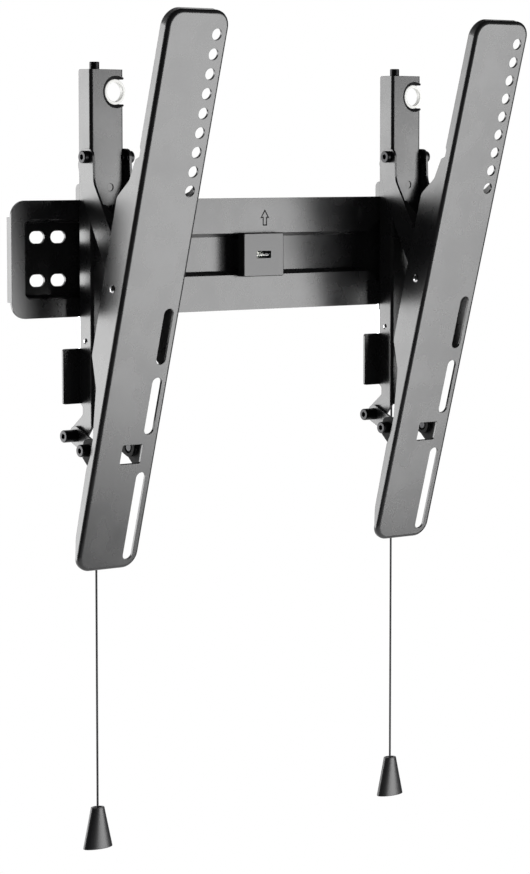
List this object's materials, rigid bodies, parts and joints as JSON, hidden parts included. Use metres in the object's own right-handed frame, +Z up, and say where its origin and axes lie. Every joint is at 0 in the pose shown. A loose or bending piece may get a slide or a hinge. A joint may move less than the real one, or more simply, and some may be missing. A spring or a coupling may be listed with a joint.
{
  "type": "tv wall mount",
  "caption": "Tilting wall mount for a flat screen: pressed wall plate, hook-on channels, linkage-tilted front plates, spring latches with pull cords, and a small level.",
  "frame": {"origin": "centre of the wall plate, on the wall", "axes": "+X along the wall to the right as seen from the room, +Y into the wall, +Z up"},
  "size_m": [0.478, 0.1427, 0.6489],
  "materials": {
    "black_powder_coat": "satin powder coat",
    "black_plastic": "fine moulded texture",
    "black_bolt": "blackened steel",
    "zinc_plate": "bright zinc plating",
    "bright_rivet": "bright rivet",
    "spring_steel": "drawn spring wire",
    "white_plastic": "smooth moulding",
    "black_cord": "braided cord",
    "vial_acrylic": "clear tube of tinted spirit"
  },
  "bodies": {
    "wall": {"wall_plate": "black_powder_coat", "level_housing": "black_plastic", "level_vial": "vial_acrylic"},
    "left_hanger": {"left_hanger": "zinc_plate"},
    "left_channel": {"left_arm_channel": "black_powder_coat", "left_notch_ring": "white_plastic", "left_upper_pivot_bolts": "black_bolt", "left_upper_pivot_washers": "black_plastic", "left_lower_pivot_bolts": "black_bolt", "left_lower_pivot_washers": "black_plastic", "left_latch_rivet": "bright_rivet", "left_latch_spring": "spring_steel"},
    "left_screw": {"left_height_screw": "black_bolt"},
    "left_tilt_arm": {"left_tilt_arm": "black_powder_coat", "left_middle_pivot_rivets": "bright_rivet", "left_middle_pivot_spacers": "black_bolt"},
    "left_front_plate": {"left_front_plate": "black_powder_coat", "left_plate_lug": "black_powder_coat", "left_plate_pivot_bolts": "black_bolt"},
    "left_lower_link": {"left_outer_lower_link": "black_powder_coat", "left_inner_lower_link": "black_powder_coat"},
    "left_latch": {"left_latch": "zinc_plate", "left_pull_cord": "black_cord", "left_cord_handle": "black_plastic"},
    "right_hanger": {"right_hanger": "zinc_plate"},
    "right_channel": {"right_arm_channel": "black_powder_coat", "right_notch_ring": "white_plastic", "right_upper_pivot_bolts": "black_bolt", "right_upper_pivot_washers": "black_plastic", "right_lower_pivot_bolts": "black_bolt", "right_lower_pivot_washers": "black_plastic", "right_latch_rivet": "bright_rivet", "right_latch_spring": "spring_steel"},
    "right_screw": {"right_height_screw": "black_bolt"},
    "right_tilt_arm": {"right_tilt_arm": "black_powder_coat", "right_middle_pivot_rivets": "bright_rivet", "right_middle_pivot_spacers": "black_bolt"},
    "right_front_plate": {"right_front_plate": "black_powder_coat", "right_plate_lug": "black_powder_coat", "right_plate_pivot_bolts": "black_bolt"},
    "right_lower_link": {"right_outer_lower_link": "black_powder_coat", "right_inner_lower_link": "black_powder_coat"},
    "right_latch": {"right_latch": "zinc_plate", "right_pull_cord": "black_cord", "right_cord_handle": "black_plastic"}
  },
  "joints": [
    {"name": "left_slide_along_plate", "type": "slide", "parent": "wall", "child": "left_hanger", "axis": [1, 0, 0], "range_m": [-0.043, 0.09]},
    {"name": "left_height", "type": "slide", "parent": "left_hanger", "child": "left_channel", "axis": [0, 0, 1], "range_m": [-0.004, 0.004]},
    {"name": "left_height_screw_turn", "type": "hinge", "parent": "left_channel", "child": "left_screw", "pos_m": [-0.167, -0.02, 0.144], "axis": [0, 0, 1], "range_deg": [-1801, 1801]},
    {"name": "left_tilt", "type": "hinge", "parent": "left_channel", "child": "left_tilt_arm", "pos_m": [-0.162, -0.0285, 0.0775], "axis": [1, 0, 0], "range_deg": [0, 21]},
    {"name": "left_plate_pivot", "type": "hinge", "parent": "left_tilt_arm", "child": "left_front_plate", "pos_m": [-0.162, -0.07001, -0.02109], "axis": [1, 0, 0], "range_deg": [-32, 0.5]},
    {"name": "left_lower_link_pivot", "type": "hinge", "parent": "left_channel", "child": "left_lower_link", "pos_m": [-0.162, -0.0105, -0.1365], "axis": [1, 0, 0], "range_deg": [-0.5, 50.5]},
    {"name": "left_latch_pull", "type": "slide", "parent": "left_channel", "child": "left_latch", "axis": [0, 0, -1], "range_m": [0, 0.008], "stiffness_N_per_m": 400, "springref_m": -0.01, "deforming": ["left_latch_spring"]},
    {"name": "right_slide_along_plate", "type": "slide", "parent": "wall", "child": "right_hanger", "axis": [1, 0, 0], "range_m": [-0.085, 0.06]},
    {"name": "right_height", "type": "slide", "parent": "right_hanger", "child": "right_channel", "axis": [0, 0, 1], "range_m": [-0.004, 0.004]},
    {"name": "right_height_screw_turn", "type": "hinge", "parent": "right_channel", "child": "right_screw", "pos_m": [0.1385, -0.02, 0.144], "axis": [0, 0, 1], "range_deg": [-1801, 1801]},
    {"name": "right_tilt", "type": "hinge", "parent": "right_channel", "child": "right_tilt_arm", "pos_m": [0.1435, -0.0285, 0.0775], "axis": [1, 0, 0], "range_deg": [0, 21]},
    {"name": "right_plate_pivot", "type": "hinge", "parent": "right_tilt_arm", "child": "right_front_plate", "pos_m": [0.1435, -0.07001, -0.02109], "axis": [1, 0, 0], "range_deg": [-32, 0.5]},
    {"name": "right_lower_link_pivot", "type": "hinge", "parent": "right_channel", "child": "right_lower_link", "pos_m": [0.1435, -0.0105, -0.1365], "axis": [1, 0, 0], "range_deg": [-0.5, 50.5]},
    {"name": "right_latch_pull", "type": "slide", "parent": "right_channel", "child": "right_latch", "axis": [0, 0, -1], "range_m": [0, 0.008], "stiffness_N_per_m": 400, "springref_m": -0.01, "deforming": ["right_latch_spring"]}
  ],
  "couplings": [
    {"joint": "left_height_screw_turn", "follows": "left_height", "rad_per_m": 7854},
    {"joint": "left_plate_pivot", "follows": "left_tilt", "ratio": -1.5033},
    {"joint": "left_lower_link_pivot", "follows": "left_tilt", "ratio": 2.3835},
    {"joint": "right_height_screw_turn", "follows": "right_height", "rad_per_m": 7854},
    {"joint": "right_plate_pivot", "follows": "right_tilt", "ratio": -1.5033},
    {"joint": "right_lower_link_pivot", "follows": "right_tilt", "ratio": 2.3835}
  ]
}
